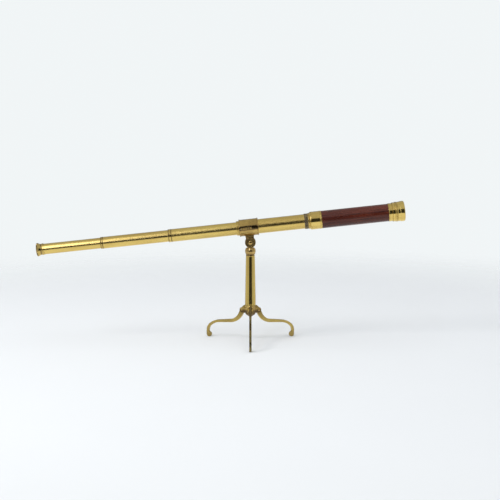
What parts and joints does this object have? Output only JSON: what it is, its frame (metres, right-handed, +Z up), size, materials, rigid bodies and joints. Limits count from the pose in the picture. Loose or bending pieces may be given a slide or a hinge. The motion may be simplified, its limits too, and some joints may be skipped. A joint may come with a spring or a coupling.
{
  "type": "table telescope",
  "caption": "Brass and mahogany draw-tube telescope, fully drawn out and tilted up, in a hinged clamp on a turning, tilting pillar with three folding S-shaped legs.",
  "frame": {"origin": "On the table, under the middle of the assembly's bounding box as it stands drawn out.", "axes": "+X runs from the eyepiece towards the objective along the table, +Y away from the front leg and the clamp's hinge, +Z up. The telescope points along +X, tilted up 6.1 degrees."},
  "size_m": [0.8262, 0.1756, 0.3191],
  "materials": {
    "hub": "brass with a brown tarnish",
    "hub_screw": "bright turned steel",
    "pillar": "polished brass with a soft aged lacquer",
    "head_screw": "bright turned steel",
    "head_washer": "thin dark leather",
    "leg_pin_front": "bright turned steel",
    "leg_pin_left": "bright turned steel",
    "leg_pin_right": "bright turned steel",
    "leg_front": "polished brass with a soft aged lacquer",
    "leg_left": "polished brass with a soft aged lacquer",
    "leg_right": "polished brass with a soft aged lacquer",
    "joint_fork": "brass with a brown tarnish",
    "joint_washer_front": "thin dark leather",
    "joint_washer_back": "thin dark leather",
    "joint_pivot_screw": "bright turned steel",
    "joint_nut": "brass with a brown tarnish",
    "joint_tongue": "brass with a brown tarnish",
    "clamp_lower_half": "brass with a brown tarnish",
    "clamp_hinge_pin": "bright turned steel",
    "clamp_lining_lower": "thin dark leather",
    "saddle_screw_rear": "bright turned steel",
    "saddle_screw_front": "bright turned steel",
    "draw_4_collar": "polished brass with a soft aged lacquer",
    "draw_4_tube": "polished brass with a soft aged lacquer",
    "draw_4_stop_ring": "polished brass with a soft aged lacquer",
    "clamp_upper_half": "brass with a brown tarnish",
    "clamp_lining_upper": "thin dark leather",
    "clamp_thumb_screw": "brass with a brown tarnish",
    "barrel_bush": "polished brass with a soft aged lacquer",
    "barrel_rear_ferrule": "polished brass with a soft aged lacquer",
    "barrel_liner_tube": "polished brass with a soft aged lacquer",
    "barrel_sleeve": "french-polished mahogany",
    "barrel_front_ferrule": "polished brass with a soft aged lacquer",
    "objective_cell": "polished brass with a soft aged lacquer",
    "objective_flint": "clear polished crown or flint glass",
    "objective_crown": "clear polished crown or flint glass",
    "objective_retaining_ring": "blackened brass, matt",
    "draw_3_collar": "polished brass with a soft aged lacquer",
    "draw_3_tube": "polished brass with a soft aged lacquer",
    "draw_3_stop_ring": "polished brass with a soft aged lacquer",
    "draw_2_collar": "polished brass with a soft aged lacquer",
    "draw_2_tube": "polished brass with a soft aged lacquer",
    "draw_2_stop_ring": "polished brass with a soft aged lacquer",
    "eyecup": "polished brass with a soft aged lacquer",
    "eye_lens": "clear polished crown or flint glass",
    "eyepiece_cell": "blackened brass, matt",
    "field_lens": "clear polished crown or flint glass",
    "draw_1_tube": "polished brass with a soft aged lacquer",
    "erector_cell": "blackened brass, matt",
    "erector_lens_rear": "clear polished crown or flint glass",
    "erector_lens_front": "clear polished crown or flint glass"
  },
  "bodies": {
    "stand": {"hub": "hub", "hub_screw": "hub_screw", "pillar": "pillar", "head_screw": "head_screw", "head_washer": "head_washer", "leg_pin_front": "leg_pin_front", "leg_pin_left": "leg_pin_left", "leg_pin_right": "leg_pin_right"},
    "leg_front_body": {"leg_front": "leg_front"},
    "leg_left_body": {"leg_left": "leg_left"},
    "leg_right_body": {"leg_right": "leg_right"},
    "head": {"joint_fork": "joint_fork", "joint_washer_front": "joint_washer_front", "joint_washer_back": "joint_washer_back", "joint_pivot_screw": "joint_pivot_screw", "joint_nut": "joint_nut"},
    "cradle": {"joint_tongue": "joint_tongue", "clamp_lower_half": "clamp_lower_half", "clamp_hinge_pin": "clamp_hinge_pin", "clamp_lining_lower": "clamp_lining_lower", "saddle_screw_rear": "saddle_screw_rear", "saddle_screw_front": "saddle_screw_front", "draw_4_collar": "draw_4_collar", "draw_4_tube": "draw_4_tube", "draw_4_stop_ring": "draw_4_stop_ring"},
    "clamp_cap": {"clamp_upper_half": "clamp_upper_half", "clamp_lining_upper": "clamp_lining_upper"},
    "thumb_screw": {"clamp_thumb_screw": "clamp_thumb_screw"},
    "barrel": {"barrel_bush": "barrel_bush", "barrel_rear_ferrule": "barrel_rear_ferrule", "barrel_liner_tube": "barrel_liner_tube", "barrel_sleeve": "barrel_sleeve", "barrel_front_ferrule": "barrel_front_ferrule", "objective_cell": "objective_cell", "objective_flint": "objective_flint", "objective_crown": "objective_crown", "objective_retaining_ring": "objective_retaining_ring"},
    "draw_3": {"draw_3_collar": "draw_3_collar", "draw_3_tube": "draw_3_tube", "draw_3_stop_ring": "draw_3_stop_ring"},
    "draw_2": {"draw_2_collar": "draw_2_collar", "draw_2_tube": "draw_2_tube", "draw_2_stop_ring": "draw_2_stop_ring"},
    "draw_1": {"eyecup": "eyecup", "eye_lens": "eye_lens", "eyepiece_cell": "eyepiece_cell", "field_lens": "field_lens", "draw_1_tube": "draw_1_tube", "erector_cell": "erector_cell", "erector_lens_rear": "erector_lens_rear", "erector_lens_front": "erector_lens_front"}
  },
  "joints": [
    {"name": "leg_front_fold", "type": "hinge", "parent": "stand", "child": "leg_front_body", "pos_m": [0.06712, 0.00847, 0.071], "axis": [1, 0, 0], "range_deg": [0, 45]},
    {"name": "leg_left_fold", "type": "hinge", "parent": "stand", "child": "leg_left_body", "pos_m": [0.05023, 0.03772, 0.071], "axis": [-0.5, -0.866, 0], "range_deg": [0, 45]},
    {"name": "leg_right_fold", "type": "hinge", "parent": "stand", "child": "leg_right_body", "pos_m": [0.084, 0.03772, 0.071], "axis": [-0.5, 0.866, 0], "range_deg": [0, 45]},
    {"name": "head_turn", "type": "hinge", "parent": "stand", "child": "head", "pos_m": [0.06712, 0.02797, 0.2], "axis": [0, 0, 1], "continuous": true},
    {"name": "tilt", "type": "hinge", "parent": "head", "child": "cradle", "pos_m": [0.06712, 0.02797, 0.226], "axis": [0, -1, 0], "range_deg": [-40, 24]},
    {"name": "clamp_cap_open", "type": "hinge", "parent": "cradle", "child": "clamp_cap", "pos_m": [0.0635, 0.00667, 0.25981], "axis": [0.9943, 0, 0.1063], "range_deg": [0, 110]},
    {"name": "thumb_screw_turn", "type": "hinge", "parent": "clamp_cap", "child": "thumb_screw", "pos_m": [0.0635, 0.05237, 0.25981], "axis": [-0.1063, 0, 0.9943], "continuous": true},
    {"name": "barrel_slide", "type": "slide", "parent": "cradle", "child": "barrel", "axis": [-0.9943, 0, -0.1063], "range_m": [0, 0.103]},
    {"name": "draw_3_slide", "type": "slide", "parent": "cradle", "child": "draw_3", "axis": [0.9943, 0, 0.1063], "range_m": [0, 0.1456]},
    {"name": "draw_2_slide", "type": "slide", "parent": "draw_3", "child": "draw_2", "axis": [0.9943, 0, 0.1063], "range_m": [0, 0.1466]},
    {"name": "draw_1_slide", "type": "slide", "parent": "draw_2", "child": "draw_1", "axis": [0.9943, 0, 0.1063], "range_m": [0, 0.1265]}
  ]
}
